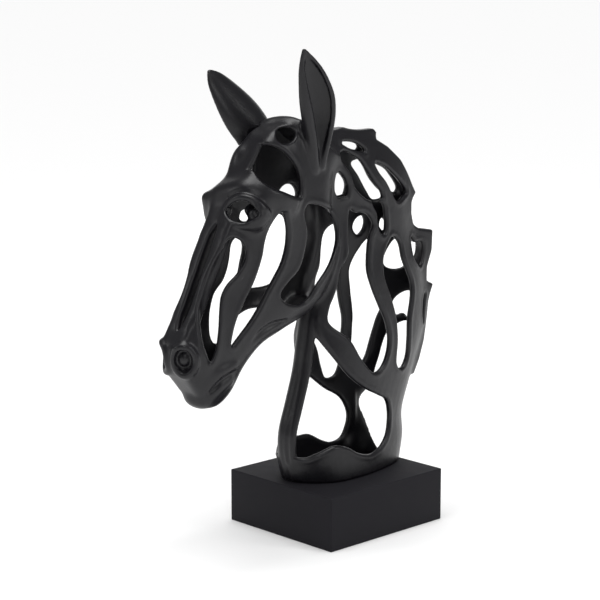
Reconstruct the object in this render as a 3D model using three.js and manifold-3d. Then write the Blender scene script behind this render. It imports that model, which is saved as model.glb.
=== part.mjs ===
// Openwork horse head sculpture on a rectangular plinth, in millimetres with +Z up.
// The origin is the middle of the plinth's underside. The horse looks along -Y, its left side is +X.
// The casting is a thin shell: an outer form of head and neck, hollow inside, with long
// drop-shaped openings cut through both sides so that only curved straps are left.
import * as THREE from 'three';
import { mergeVertices } from 'three/addons/utils/BufferGeometryUtils.js';
import Module from 'manifold-3d';

const wasm = await Module();
wasm.setup();

// Plinth
const PLINTH_WIDTH = 150;
const PLINTH_DEPTH = 162;
const PLINTH_HEIGHT = 55;
const PLINTH_EDGE = 1.2;

// Casting
const SEAT_GAP = 0.3;
const CASTING_HEIGHT = 439;
const WALL = 6;

// The figure's free form is drawn at this height and scaled to CASTING_HEIGHT
const DRAWN_HEIGHT = 439;
const SCALE = CASTING_HEIGHT / DRAWN_HEIGHT;

// Fineness of the facets
const RING_POINTS = 20;
const HOLLOW_RING_POINTS = 14;
const RINGS_PER_STATION = 2;
const CURVE_STEPS = 7;
const OUTLINE_STEPS = 17;
const EAR_POINTS = 10;

// Shares of the way from the front line to the back line at which a section's half-widths are given
const WIDTH_LEVELS = [0, 0.06, 0.22, 0.5, 0.82, 1];

// Head, from the poll down to the lips. Each station cuts the head from a point on the line
// of the face to a point on the line of the jaw, both [forward-back, up], with its half-widths.
const HEAD_STATIONS = [
  { name: 'poll', front: [-74, 370], back: [-14, 326], widths: [11, 17, 22, 25, 24, 11] },
  { name: 'forehead', front: [-105, 358], back: [-24, 302], widths: [14, 21, 27, 29, 28, 14] },
  { name: 'temple', front: [-125, 331], back: [-26, 272], widths: [16, 22, 29, 32, 31, 16] },
  { name: 'brow', front: [-146, 304], back: [-20, 244], widths: [17, 24, 34, 33, 32, 20] },
  { name: 'below the eye', front: [-163, 275], back: [-28, 212], widths: [17, 21, 28, 32, 32, 21] },
  { name: 'cheek', front: [-177, 248], back: [-54, 181], widths: [17, 20, 26, 31, 32, 20] },
  { name: 'bars of the jaw', front: [-189, 222], back: [-93, 161], widths: [16, 19, 23, 28, 29, 16] },
  { name: 'nose', front: [-202, 196], back: [-120, 150], widths: [15, 18, 22, 25, 26, 15] },
  { name: 'above the nostril', front: [-215, 175], back: [-141, 131], widths: [14, 18, 22, 24, 23, 13] },
  { name: 'nostril', front: [-223, 162], back: [-156, 110], widths: [12, 18, 22, 23, 20, 11] },
  { name: 'lips', front: [-221, 142], back: [-173, 98], widths: [10, 15, 18, 19, 17, 9] },
  { name: 'tip', front: [-211, 128], back: [-189, 99], widths: [6, 9, 11, 12, 10, 5] },
];

// Neck, from the foot up to the poll, from the line of the throat to the line of the crest
const NECK_STATIONS = [
  { name: 'foot', front: [-67, 0], back: [88, 0], widths: [7, 23, 39, 40, 28, 7] },
  { name: 'collar', front: [-75, 28], back: [93, 25], widths: [7, 23, 38, 39, 28, 7] },
  { name: 'chest', front: [-75, 52], back: [92, 52], widths: [7, 22, 37, 38, 27, 7] },
  { name: 'low neck', front: [-66, 80], back: [102, 80], widths: [7, 22, 35, 37, 26, 7] },
  { name: 'lower third', front: [-56, 112], back: [114, 108], widths: [7, 22, 35, 36, 25, 7] },
  { name: 'middle', front: [-51, 140], back: [125, 138], widths: [7, 22, 34, 35, 24, 7] },
  { name: 'upper middle', front: [-46, 166], back: [128, 172], widths: [7, 21, 31, 32, 22, 6] },
  { name: 'throat', front: [-38, 196], back: [120, 206], widths: [7, 19, 28, 28, 19, 6] },
  { name: 'behind the jowl', front: [-28, 228], back: [106, 238], widths: [7, 17, 24, 23, 16, 6] },
  { name: 'nape', front: [-24, 262], back: [103, 272], widths: [7, 16, 21, 20, 14, 5] },
  { name: 'upper crest', front: [-28, 292], back: [91, 308], widths: [6, 16, 21, 19, 13, 5] },
  { name: 'crest behind the ears', front: [-40, 322], back: [52, 339], widths: [5, 14, 19, 16, 11, 5] },
  { name: 'top of the crest', front: [-58, 348], back: [4, 357], widths: [5, 10, 14, 12, 8, 4] },
];

// Brow and rim of the eye: bumps half buried in each side of the head
const BROW = { centre: [31, -132, 297], radii: [14, 20, 9], pitch: 0.25 };
const EYE_RIM = { centre: [28, -138, 283], radii: [12, 13, 14], pitch: 0.3 };

// Passage that joins the hollows of head and neck behind the jaw
const PASSAGE = { centre: [0, -32, 238], radii: [14, 24, 42] };

// Ears, each a leaf cupped towards its own side. The left one stands up, the right one leans out.
// Each row is the share of the length, the half-width and the depth of the cup.
const EAR_WALL = 4.5;
const LEFT_EAR = {
  root: [27, -56, 322], tip: [40, -85, 439], facing: [1, -0.35, 0], bow: 9,
  rows: [[0, 9, 9], [0.2, 14, 13], [0.42, 19, 15], [0.6, 19, 13], [0.8, 13, 9], [0.93, 6, 4.5], [1, 1, 1.5]],
};
const RIGHT_EAR = {
  root: [-27, -63, 322], tip: [-62, -117, 416], facing: [-1, 0, -0.3], bow: 0,
  rows: [[0, 16, 10], [0.2, 22, 13], [0.42, 24, 14], [0.6, 22, 12], [0.8, 15, 8], [0.93, 8, 4.5],
    [1, 1, 1.5]],
};

// Mane: a rib along the crest whose locks end in points, outline in [forward-back, up]
const MANE_THICKNESS = 13;
const MANE_OUTLINE = [
  [-30, 353], [10, 351], [46, 350], [49, 345], [49, 340], [68, 333], [88, 318], [102, 298], [113, 281],
  [104, 272], [102, 260], [107, 249], [118, 241], [138, 236], [139, 217], [132, 200], [130, 185],
  [140, 178], [133, 160], [132, 140], [124, 124], [114, 98],
  [100, 98], [110, 124], [114, 150], [112, 180], [106, 206], [96, 232],
  [88, 262], [72, 292], [50, 318], [20, 334],
];

// Openings in the sides. Each is cut from a distance out from the middle plane, along a level direction
// that is turned from square across towards the front, on the side that it names or else on both.
// A drop follows a line of [along, up, half-width]; an outline is a smooth closed curve of [along, up].
const DEGREE = Math.PI / 180;
const SIDE_REACH = 90;
const SIDE_OPENINGS = [
  {
    name: 'left temple', turn: 0, from: 15, side: 'left',
    outline: [[-122, 345], [-108, 348], [-93, 341], [-82, 329], [-76, 310], [-83, 298], [-105, 302],
      [-127, 314]],
  },
  {
    name: 'right temple', turn: 0, from: 15, side: 'right',
    drop: [[-104, 340, 2], [-100, 330, 6], [-99, 316, 7], [-104, 305, 2.5]],
  },
  {
    name: 'behind the right temple', turn: 0, from: -1, side: 'right',
    outline: [[-58, 288], [-54, 296], [-47, 301], [-40, 300], [-36, 292], [-38, 283], [-48, 281]],
  },
  {
    name: 'left eye', turn: 45, from: 80, side: 'left',
    outline: [[-106, 287], [-100, 294], [-91, 296], [-82, 292], [-73, 283], [-85, 280], [-96, 282]],
  },
  {
    name: 'right eye', turn: 45, from: 80, side: 'right',
    outline: [[-98, 286], [-91, 292], [-82, 291], [-75, 285], [-86, 281]],
  },
  {
    name: 'side of the nose', turn: 45, from: 90,
    drop: [[-99, 263, 2.5], [-96, 254, 7.5], [-98, 244, 9.5], [-105, 231, 10], [-114, 218, 10],
      [-119.5, 204, 10], [-120, 188, 9.5], [-119.5, 170, 7.5], [-117.5, 153, 4.5], [-116, 141, 2]],
  },
  {
    name: 'left cheek', turn: 0, from: -1, side: 'left',
    drop: [[-108, 284, 3], [-110, 271, 10.5], [-112, 256, 13.5], [-116, 240, 13], [-124, 225, 11],
      [-133, 210, 9.5], [-142, 196, 9.5], [-152, 181, 8], [-160, 168, 4.5], [-165, 159, 1.5]],
  },
  {
    name: 'right cheek', turn: 0, from: -1, side: 'right',
    drop: [[-98, 285, 2.5], [-102, 273, 10], [-110, 257, 13], [-116, 240, 13], [-125, 225, 11.5],
      [-135, 210, 10.5], [-144, 196, 10], [-153, 181, 8.5], [-160, 168, 4.5], [-165, 159, 1.5]],
  },
  {
    name: 'left jowl', turn: 0, from: -1, side: 'left',
    outline: [[-77, 280], [-72, 288], [-59, 287], [-42, 281], [-28, 272], [-22, 260], [-25, 243],
      [-39, 224], [-57, 205], [-70, 192], [-84, 189], [-100, 193], [-108, 202], [-99, 213], [-84, 225],
      [-77, 240], [-73, 262]],
  },
  {
    name: 'right jowl', turn: 0, from: -1, side: 'right',
    outline: [[-79, 262], [-65, 271], [-50, 270], [-42, 258], [-41, 243], [-45, 224], [-56, 207],
      [-68, 200], [-88, 199], [-103, 201], [-108, 207], [-99, 215], [-87, 228], [-81, 244]],
  },
  {
    name: 'edge of the left jaw', turn: 0, from: -1, side: 'left',
    drop: [[-134, 161, 1.5], [-124, 168, 3.5], [-108, 171, 3.5], [-94, 171, 1.5]],
  },
  {
    name: 'edge of the right jaw', turn: 0, from: -1, side: 'right',
    outline: [[-138, 148], [-129, 162], [-118, 172], [-103, 179], [-88, 180], [-75, 179], [-64, 171],
      [-76, 158], [-96, 145], [-120, 134]],
  },
  {
    name: 'below the left ear', turn: 0, from: -1, side: 'left',
    drop: [[-19, 314, 2.5], [-16, 308, 6.5], [-12, 298, 8.5], [-10, 288, 5]],
  },
  {
    name: 'below the right ear', turn: 0, from: -1, side: 'right',
    drop: [[14, 308, 3], [16, 302, 7], [19, 293, 9.5], [20, 284, 6]],
  },
  {
    name: 'left upper crest', turn: 0, from: -1, side: 'left',
    outline: [[-16, 331], [-4, 335], [5, 331], [16, 325], [26, 314], [36, 301], [48, 288], [49, 282],
      [29, 281], [6, 296], [-1, 312]],
  },
  {
    name: 'right upper crest', turn: 0, from: -1, side: 'right',
    outline: [[31, 318], [41, 321], [48, 315], [60, 299], [71, 288], [79, 282], [75, 277], [63, 277],
      [56, 285], [43, 303]],
  },
  {
    name: 'under the left first lock', turn: 0, from: -1, side: 'left',
    drop: [[-6, 342, 2], [7, 339, 4], [17, 336, 4], [27, 332, 2]],
  },
  {
    name: 'under the right first lock', turn: 0, from: -1, side: 'right',
    drop: [[11, 342, 2], [21, 340, 4.5], [30, 336, 4.5], [37, 332, 2]],
  },
  {
    name: 'behind the left first lock', turn: 0, from: -1, side: 'left',
    outline: [[40, 319], [58, 314], [70, 306], [82, 297], [95, 284], [87, 279], [74, 276], [64, 287],
      [55, 299], [45, 309]],
  },
  {
    name: 'behind the right first lock', turn: 0, from: -1, side: 'right',
    outline: [[60, 315], [75, 310], [84, 302], [94, 287], [91, 282], [81, 287], [72, 298]],
  },
  {
    name: 'left small drop of the crest', turn: 0, from: -1, side: 'left',
    outline: [[31, 279], [38, 268], [39, 255], [43, 247], [48, 244], [52, 249], [53, 264], [50, 276],
      [40, 280]],
  },
  {
    name: 'right small drop of the crest', turn: 0, from: -1, side: 'right',
    drop: [[77, 256, 2], [79, 249, 5], [81, 242, 2]],
  },
  {
    name: 'left middle of the neck', turn: 0, from: -1, side: 'left',
    outline: [[-1, 276], [6, 272], [17, 271], [27, 266], [33, 256], [26, 244], [21, 226], [19, 210],
      [23, 194], [32, 173], [41, 154], [44, 136], [40, 119], [31, 108], [19, 105], [1, 122], [-13, 144],
      [-33, 163], [-31, 177], [-22, 196], [-16, 215], [-6, 229], [-4, 252]],
  },
  {
    name: 'right middle of the neck', turn: 0, from: -1, side: 'right',
    outline: [[-4, 246], [6, 254], [16, 255], [24, 245], [25, 222], [26, 196], [32, 172], [39, 150],
      [38, 126], [36, 104], [29, 90], [16, 89], [9, 103], [3, 122], [-7, 139], [-14, 155], [-14, 171],
      [-10, 188], [-10, 200], [-5, 214], [-6, 232]],
  },
  {
    name: 'right upper drop of the neck', turn: 0, from: -1, side: 'right',
    outline: [[39, 249], [43, 258], [52, 261], [56, 254], [54, 245], [47, 240]],
  },
  {
    name: 'left back of the neck', turn: 0, from: -1, side: 'left',
    outline: [[63, 241], [76, 232], [79, 216], [85, 202], [91, 188], [89, 173], [82, 153], [81, 130],
      [80, 112], [72, 102], [64, 102], [58, 109], [59, 133], [57, 158], [50, 181], [42, 204], [46, 224]],
  },
  {
    name: 'right long drop of the neck', turn: 0, from: -1, side: 'right',
    outline: [[60, 235], [70, 235], [74, 208], [80, 187], [91, 164], [84, 146], [76, 124], [68, 104],
      [61, 97], [50, 105], [51, 132], [51, 155], [45, 182], [41, 206], [48, 222]],
  },
  {
    name: 'right low drop of the neck', turn: 0, from: -1, side: 'right',
    outline: [[93, 128], [103, 137], [116, 141], [119, 132], [114, 108], [106, 88], [92, 82], [77, 84],
      [84, 106]],
  },
  {
    name: 'right back drop of the neck', turn: 0, from: -1, side: 'right',
    outline: [[100, 161], [108, 171], [119, 174], [122, 165], [117, 153], [106, 147]],
  },
  {
    name: 'right upper back drop', turn: 0, from: -1, side: 'right',
    outline: [[84, 212], [95, 233], [105, 223], [112, 202], [101, 198], [87, 203]],
  },
  {
    name: 'behind the third lock', turn: 0, from: -1,
    outline: [[102, 236], [110, 229], [122, 228], [123, 215], [116, 203], [108, 207], [101, 216]],
  },
  {
    name: 'behind the fourth lock', turn: 0, from: -1,
    drop: [[124, 172, 1.5], [119, 164, 4], [117, 152, 4], [119, 141, 1.5]],
  },
  {
    name: 'left low neck', turn: 0, from: 7, side: 'left',
    outline: [[-84, 60], [-84, 100], [-70, 140], [-47, 167], [-42, 148], [-30, 127], [-16, 108],
      [5, 92], [27, 81], [41, 73], [48, 56], [45, 38], [34, 26], [14, 20], [-6, 25], [-22, 34],
      [-38, 38], [-54, 32], [-66, 27], [-80, 34]],
  },
  {
    name: 'right low neck', turn: 0, from: 10, side: 'right',
    outline: [[-84, 60], [-84, 100], [-70, 140], [-52, 162], [-44, 145], [-32, 123], [-16, 102],
      [0, 90], [16, 78], [36, 65], [45, 46], [43, 30], [37, 20], [25, 17], [13, 21], [-6, 31],
      [-22, 32], [-38, 36], [-54, 32], [-66, 27], [-80, 34]],
  },
];

// Opening low in the back of the neck, in its right half: smooth outline in [across to the right, up]
const BACK_OPENING = {
  from: 56,
  reach: 60,
  outline: [[-5, 44], [-5, 60], [2, 74], [13, 81], [22, 79], [28, 68], [29, 50], [26, 30], [19, 14], [9, 10],
    [0, 20]],
};

// Long slot down the bridge of the nose: [down the face, half-width], cut square to the face
const BRIDGE_TOP = [-163, 275];
const BRIDGE_BOTTOM = [-214, 178];
const BRIDGE_DEPTH = 26;
const BRIDGE_ROWS = [[0, 2], [0.12, 4.5], [0.3, 5.5], [0.6, 5.5], [0.85, 5], [1, 2.5]];

// Deep inner edge of the bridge beside its slot, on both sides: outline in [forward-back, up]
const RAIL_OFFSET = 6.5;
const RAIL_THICKNESS = 5;
const RAIL_OUTLINE = [[-162, 272], [-212, 178], [-200, 172], [-150, 266]];

// Nostril: a shallow hollow in each side of the muzzle with a round plug standing in it
const NOSTRIL = { centre: [21, -221, 151], radii: [6, 9, 12] };
const NOSTRIL_PLUG = { centre: [14, -217, 152], radii: [6, 5, 5.5] };

// Line of the mouth: a groove in each side of the muzzle
const MOUTH = {
  from: 17,
  drop: [[-158, 134, 0.8], [-168, 131, 1.6], [-180, 126, 1.6], [-192, 115, 1.2], [-200, 105, 0.8]],
};

// Turns a closed geometry into a solid, with its faces outward
function solid(geometry) {
  const bare = geometry.clone();
  bare.deleteAttribute('normal');
  bare.deleteAttribute('uv');
  const merged = mergeVertices(bare, 1e-4);
  const points = merged.getAttribute('position').array;
  const corners = Array.from(merged.index.array);
  const kept = [];
  for (let i = 0; i < corners.length; i += 3) {
    const [a, b, c] = corners.slice(i, i + 3);
    if (a !== b && b !== c && c !== a) kept.push(a, b, c);
  }
  if (signedVolume(points, kept) < 0) kept.reverse();
  const mesh = new wasm.Mesh({
    numProp: 3,
    vertProperties: new Float32Array(points),
    triVerts: new Uint32Array(kept),
  });
  return new wasm.Manifold(mesh);
}

function signedVolume(points, corners) {
  const corner = (i) => new THREE.Vector3().fromArray(points, 3 * corners[i]);
  let volume = 0;
  for (let i = 0; i < corners.length; i += 3) {
    volume += corner(i).dot(corner(i + 1).cross(corner(i + 2))) / 6;
  }
  return volume;
}

// Turns a solid back into a geometry that a mesh can show
function geometryOf(body) {
  const mesh = body.getMesh();
  const positions = [];
  for (let i = 0; i < mesh.numVert; i += 1) {
    positions.push(...mesh.vertProperties.slice(mesh.numProp * i, mesh.numProp * i + 3));
  }
  const geometry = new THREE.BufferGeometry();
  geometry.setAttribute('position', new THREE.Float32BufferAttribute(positions, 3));
  geometry.setIndex(Array.from(mesh.triVerts));
  geometry.computeVertexNormals();
  return geometry;
}

// A closed skin over a row of rings, with each end closed by a fan to its middle
function skin(rings) {
  const count = rings[0].length;
  const sumOf = (ring) => ring.reduce((sum, point) => sum.add(point), new THREE.Vector3());
  const middleOf = (ring) => sumOf(ring).divideScalar(count);
  const points = [...rings.flat(), middleOf(rings[0]), middleOf(rings[rings.length - 1])];
  const firstMiddle = rings.length * count;
  const lastMiddle = firstMiddle + 1;
  const lastRing = (rings.length - 1) * count;
  const corners = [];
  for (let k = 0; k < count; k += 1) {
    const next = (k + 1) % count;
    for (let r = 0; r < lastRing; r += count) {
      corners.push(r + k, r + next, r + count + next, r + k, r + count + next, r + count + k);
    }
    corners.push(next, k, firstMiddle, lastMiddle, lastRing + k, lastRing + next);
  }
  const geometry = new THREE.BufferGeometry();
  geometry.setFromPoints(points);
  geometry.setIndex(corners);
  return geometry;
}

// The ring of one station: a smooth closed curve, mirrored about the middle plane.
// inset moves it inward everywhere, for the hollow.
function ringOf(station, inset, count) {
  const front = new THREE.Vector2(...station.front).multiplyScalar(SCALE);
  const back = new THREE.Vector2(...station.back).multiplyScalar(SCALE);
  const length = front.distanceTo(back);
  const at = (level, width) => {
    const share = THREE.MathUtils.mapLinear(level, 0, 1, inset / length, 1 - inset / length);
    const spot = front.clone().lerp(back, share);
    return new THREE.Vector3(width, spot.x, spot.y);
  };
  const widths = station.widths.map((width) => Math.max(width * SCALE - inset, 1));
  const half = WIDTH_LEVELS.map((level, i) => at(level, widths[i]));
  const otherHalf = half.map((point) => point.clone().setX(-point.x)).reverse();
  const curve = new THREE.CatmullRomCurve3([at(0, 0), ...half, at(1, 0), ...otherHalf], true, 'catmullrom');
  return curve.getPoints(count).slice(0, count);
}

// Smoothly spaced stations between the drawn ones
function blended(stations, steps) {
  const rows = stations.map(({ front, back, widths }) => [...front, ...back, ...widths]);
  const curveOf = (column) => new THREE.SplineCurve(rows.map((row, i) => new THREE.Vector2(i, row[column])));
  const curves = rows[0].map((_, column) => curveOf(column));
  const total = (stations.length - 1) * steps;
  return Array.from({ length: total + 1 }, (_, i) => {
    const row = curves.map((curve) => curve.getPoint(i / total).y);
    return { front: row.slice(0, 2), back: row.slice(2, 4), widths: row.slice(4) };
  });
}

function outerForm(stations) {
  return solid(skin(blended(stations, RINGS_PER_STATION).map((station) => ringOf(station, 0, RING_POINTS))));
}

// The hollow follows the outer form one wall further in. Its ends stop a wall short of the
// form's ends, except that the neck's hollow runs on out through the open foot.
function hollowForm(stations, openFoot) {
  const rings = blended(stations, 1).map((station) => ringOf(station, WALL, HOLLOW_RING_POINTS));
  const last = rings.length - 1;
  const shift = (ring, next, distance) => {
    const away = ring[0].clone().add(ring[HOLLOW_RING_POINTS / 2]);
    const inward = next[0].clone().add(next[HOLLOW_RING_POINTS / 2]).sub(away).setLength(distance);
    return ring.map((point) => point.clone().add(inward));
  };
  rings[last] = shift(rings[last], rings[last - 1], WALL);
  const lowered = (ring) => ring.map((point) => point.clone().setZ(point.z - WALL));
  rings[0] = openFoot ? lowered(rings[0]) : shift(rings[0], rings[1], WALL);
  return solid(skin(rings));
}

// A scaled sphere, tilted about the line across the head
function lump({ centre, radii, pitch = 0 }) {
  const sphere = new THREE.SphereGeometry(1, 10, 7);
  sphere.scale(...radii);
  sphere.rotateX(pitch);
  sphere.translate(...centre);
  sphere.scale(SCALE, SCALE, SCALE);
  return sphere;
}

// An ear: rings of a crescent section along a straight line from root to tip, cupped towards facing
function ear({ root, tip, facing, bow, rows }) {
  const from = new THREE.Vector3(...root);
  const to = new THREE.Vector3(...tip);
  const along = to.clone().sub(from).normalize();
  const across = new THREE.Vector3(...facing).cross(along).normalize();
  const open = along.clone().cross(across).normalize();
  const back = across.clone().multiplyScalar(Math.sign(across.y));
  const rings = rows.map(([share, width, depth]) => {
    const middle = from.clone().lerp(to, share);
    middle.addScaledVector(back, bow * Math.sin(Math.PI * share));
    const cup = Math.max(depth - EAR_WALL, 0) * Math.sin(Math.PI * Math.min(share * 1.6, 1) * 0.5);
    return Array.from({ length: EAR_POINTS }, (_, k) => {
      const angle = (2 * Math.PI * k) / EAR_POINTS;
      const bulge = Math.sin(angle) < 0 ? depth * Math.sin(angle) : -cup * Math.sin(angle);
      const spot = middle.clone().addScaledVector(across, width * Math.cos(angle));
      return spot.addScaledVector(open, bulge);
    });
  });
  const geometry = skin(rings);
  geometry.scale(SCALE, SCALE, SCALE);
  return geometry;
}

function mirrored(geometry) {
  return geometry.clone().scale(-1, 1, 1);
}

// Closed outline of a drop: its middle line offset to both sides, with round ends
function dropOutline(rows) {
  const middle = new THREE.SplineCurve(rows.map(([along, up]) => new THREE.Vector2(along, up)));
  const swell = new THREE.SplineCurve(rows.map(([, , half], i) => new THREE.Vector2(i, half)));
  const side = (sign) => Array.from({ length: CURVE_STEPS + 1 }, (_, i) => {
    const t = i / CURVE_STEPS;
    const tangent = middle.getTangent(t);
    const normal = new THREE.Vector2(-tangent.y, tangent.x);
    return middle.getPoint(t).addScaledVector(normal, sign * swell.getPoint(t).y);
  });
  return [...side(1), ...side(-1).reverse()];
}

// Closed smooth outline through a few points
function smoothOutline(rows, steps) {
  const points = rows.map(([along, up]) => new THREE.Vector3(along, up, 0));
  return new THREE.CatmullRomCurve3(points, true, 'centripetal').getPoints(steps).slice(0, steps);
}

function prism(outline, depth) {
  const shape = new THREE.Shape(outline.map((point) => new THREE.Vector2(point.x * SCALE, point.y * SCALE)));
  return new THREE.ExtrudeGeometry(shape, { depth: depth * SCALE, bevelEnabled: false });
}

// Stands a prism up: its outline's first direction becomes along, its second becomes up,
// and it reaches outward from a distance along their cross product
function placed(geometry, along, up, distance) {
  const outward = along.clone().cross(up);
  const placement = new THREE.Matrix4().makeBasis(along, up, outward);
  placement.setPosition(outward.multiplyScalar(distance * SCALE));
  return geometry.applyMatrix4(placement);
}

function sideCutter({ turn = 0, from, drop, outline }) {
  const angle = turn * DEGREE;
  const edge = drop ? dropOutline(drop) : smoothOutline(outline, OUTLINE_STEPS);
  const along = new THREE.Vector3(Math.sin(angle), Math.cos(angle), 0);
  return placed(prism(edge, SIDE_REACH), along, new THREE.Vector3(0, 0, 1), from);
}

function backCutter({ from, reach, outline }) {
  const across = new THREE.Vector3(-1, 0, 0);
  const cutter = prism(smoothOutline(outline, OUTLINE_STEPS), reach);
  return placed(cutter, across, new THREE.Vector3(0, 0, 1), from);
}

// The slot down the bridge of the nose, cut square to the face from just in front of it
function bridgeCutter() {
  const top = new THREE.Vector3(0, ...BRIDGE_TOP);
  const bottom = new THREE.Vector3(0, ...BRIDGE_BOTTOM);
  const length = top.distanceTo(bottom);
  const rows = BRIDGE_ROWS.map(([share, half]) => [0, -share * length, half]);
  const up = top.clone().sub(bottom).normalize();
  const across = new THREE.Vector3(1, 0, 0);
  const cutter = placed(prism(dropOutline(rows), BRIDGE_DEPTH), across, up, -BRIDGE_DEPTH / 2);
  return cutter.translate(0, top.y * SCALE, top.z * SCALE);
}

// A flat inner flange on the left edge of the bridge's slot
function bridgeRail() {
  const shape = RAIL_OUTLINE.map(([along, up]) => new THREE.Vector2(along, up));
  const rail = prism(shape, RAIL_THICKNESS);
  return placed(rail, new THREE.Vector3(0, 1, 0), new THREE.Vector3(0, 0, 1), RAIL_OFFSET);
}

function maneRib() {
  const shape = MANE_OUTLINE.map(([along, up]) => new THREE.Vector2(along, up));
  const rib = prism(shape, MANE_THICKNESS);
  return placed(rib, new THREE.Vector3(0, 1, 0), new THREE.Vector3(0, 0, 1), -MANE_THICKNESS / 2);
}

// The casting: outer forms joined, hollowed, then opened
function casting() {
  const faceLumps = [lump(BROW), lump(EYE_RIM)];
  const added = [...faceLumps, ...faceLumps.map(mirrored), ear(LEFT_EAR), ear(RIGHT_EAR), maneRib()];
  const hollows = [hollowForm(HEAD_STATIONS, false), hollowForm(NECK_STATIONS, true), solid(lump(PASSAGE))];
  const isOn = (name) => ({ side }) => !side || side === name;
  const onSide = (name) => [...SIDE_OPENINGS, MOUTH].filter(isOn(name)).map(sideCutter);
  const leftCuts = onSide('left');
  const rightCuts = onSide('right').map(mirrored);
  const nostril = lump(NOSTRIL);
  const middleCuts = [backCutter(BACK_OPENING), bridgeCutter()];
  const cuts = [...leftCuts, ...rightCuts, nostril, mirrored(nostril), ...middleCuts];
  const insets = [lump(NOSTRIL_PLUG), bridgeRail()];
  let body = outerForm(HEAD_STATIONS).add(outerForm(NECK_STATIONS));
  added.forEach((geometry) => {
    body = body.add(solid(geometry));
  });
  hollows.forEach((hollow) => {
    body = body.subtract(hollow);
  });
  cuts.forEach((geometry) => {
    body = body.subtract(solid(geometry));
  });
  [...insets, ...insets.map(mirrored)].forEach((geometry) => {
    body = body.add(solid(geometry));
  });
  return body;
}

// The plinth: a square-cornered block whose edges are just broken
function plinthBlock() {
  const halfWidth = PLINTH_WIDTH / 2 - PLINTH_EDGE;
  const halfDepth = PLINTH_DEPTH / 2 - PLINTH_EDGE;
  const corners = [[-1, -1], [1, -1], [1, 1], [-1, 1]];
  const shape = new THREE.Shape(corners.map(([x, y]) => new THREE.Vector2(x * halfWidth, y * halfDepth)));
  const block = new THREE.ExtrudeGeometry(shape, {
    depth: PLINTH_HEIGHT - 2 * PLINTH_EDGE,
    bevelSize: PLINTH_EDGE,
    bevelThickness: PLINTH_EDGE,
    bevelSegments: 1,
  });
  return block.translate(0, 0, PLINTH_EDGE);
}

const ironBlack = new THREE.MeshStandardMaterial({ color: 0x1d1e20, roughness: 0.45, metalness: 0.1 });
const paintedBlack = new THREE.MeshStandardMaterial({ color: 0x232426, roughness: 0.6, metalness: 0 });

const horseHead = new THREE.Mesh(geometryOf(casting()), ironBlack);
horseHead.name = 'horse_head';
horseHead.position.z = PLINTH_HEIGHT + SEAT_GAP;

const plinth = new THREE.Mesh(plinthBlock(), paintedBlack);
plinth.name = 'plinth';

const sculpture = new THREE.Group();
sculpture.add(horseHead, plinth);

export default sculpture;
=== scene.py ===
"""Openwork horse head sculpture on a rectangular plinth, dressed around its CAD frame.

The casting is one thin shell of flowing straps, so it can't be shaped from a primitive by hand:
its walls are worked out as a distance field from the sizes below, in millimetres above its
foot, and the field's zero surface becomes the mesh. The plinth is modelled from a cube.
"""

import logging
import math
from dataclasses import dataclass
from enum import Enum

import bpy
import numpy as np
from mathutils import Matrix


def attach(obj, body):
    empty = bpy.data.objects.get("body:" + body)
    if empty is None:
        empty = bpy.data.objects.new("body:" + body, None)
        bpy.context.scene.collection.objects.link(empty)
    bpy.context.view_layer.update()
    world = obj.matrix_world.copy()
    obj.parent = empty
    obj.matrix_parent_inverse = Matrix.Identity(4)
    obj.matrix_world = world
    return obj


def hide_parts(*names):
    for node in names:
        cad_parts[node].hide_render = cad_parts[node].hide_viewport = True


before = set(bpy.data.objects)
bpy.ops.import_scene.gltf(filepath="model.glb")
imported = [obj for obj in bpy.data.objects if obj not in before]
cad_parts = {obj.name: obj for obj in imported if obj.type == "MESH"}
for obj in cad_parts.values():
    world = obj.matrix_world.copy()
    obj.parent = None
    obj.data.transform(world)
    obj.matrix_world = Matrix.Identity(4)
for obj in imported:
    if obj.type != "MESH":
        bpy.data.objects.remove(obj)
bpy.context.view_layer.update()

import openvdb
from mathutils import Vector

LOG = logging.getLogger("horse_head")
MM = 0.001
PLINTH_TOP = 55.0
SEAT_GAP = 0.1
BLOCK_LOW = (-76, -236, -25)
BLOCK_HIGH = (56, 152, 448)


class Side(Enum):
    """Which side of the casting an opening is cut on. The horse's left is +X."""

    LEFT = (1,)
    RIGHT = (-1,)
    BOTH = (1, -1)


@dataclass(frozen=True)
class Station:
    """One section of the head or neck, from its front line to its back line."""

    name: str
    front: tuple[float, float]
    back: tuple[float, float]
    widths: tuple[float, ...]


@dataclass(frozen=True)
class Opening:
    """An opening in the casting's side: a drop along a line, or a closed smooth outline."""

    name: str
    side: Side
    start: float
    outline: tuple[tuple[float, float], ...] = ()
    drop: tuple[tuple[float, float, float], ...] = ()
    turn: float = 0.0


# The shares of the way from a section's front to its back at which its half widths are given.
WIDTH_LEVELS = (0, 0.06, 0.22, 0.5, 0.82, 1)

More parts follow.
